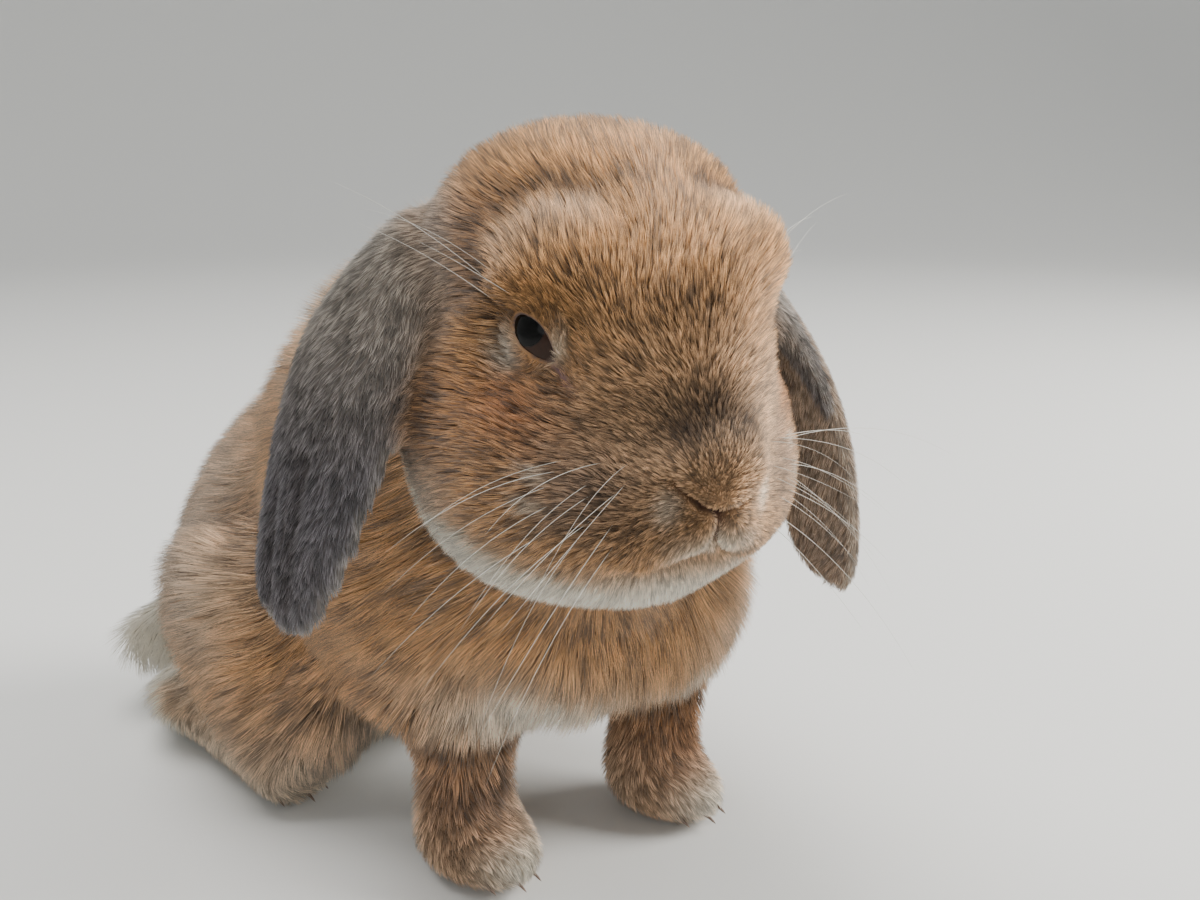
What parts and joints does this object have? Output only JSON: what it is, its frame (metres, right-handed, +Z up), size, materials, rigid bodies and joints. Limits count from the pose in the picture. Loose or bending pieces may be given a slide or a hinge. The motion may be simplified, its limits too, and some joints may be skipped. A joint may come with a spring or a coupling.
{
  "type": "lop rabbit figure",
  "caption": "Life-size sitting lop-eared rabbit with straight forelegs, its head turned to its right and its long ears hanging beside the cheeks.",
  "frame": {"origin": "on the floor, under the middle of the whole box", "axes": "+Z up; the body faces -Y; +X is the rabbit's left side"},
  "size_m": [0.163, 0.2874, 0.2194],
  "materials": {
    "tan_coat": "soft tan fur with dark ticking",
    "ear_coat": "short grey-brown fur",
    "white_coat": "soft cream-white fur",
    "eye": "wet dark brown gloss"
  },
  "bodies": {
    "root": {"head": "tan_coat", "neck": "tan_coat", "trunk": "tan_coat", "foreleg_left": "tan_coat", "foreleg_right": "tan_coat", "thigh_left": "tan_coat", "thigh_right": "tan_coat", "ear_left": "ear_coat", "ear_right": "ear_coat", "tail": "white_coat", "forepaw_left": "white_coat", "forepaw_right": "white_coat", "hindfoot_left": "white_coat", "hindfoot_right": "white_coat", "eye_left": "eye", "eye_right": "eye"}
  },
  "joints": []
}
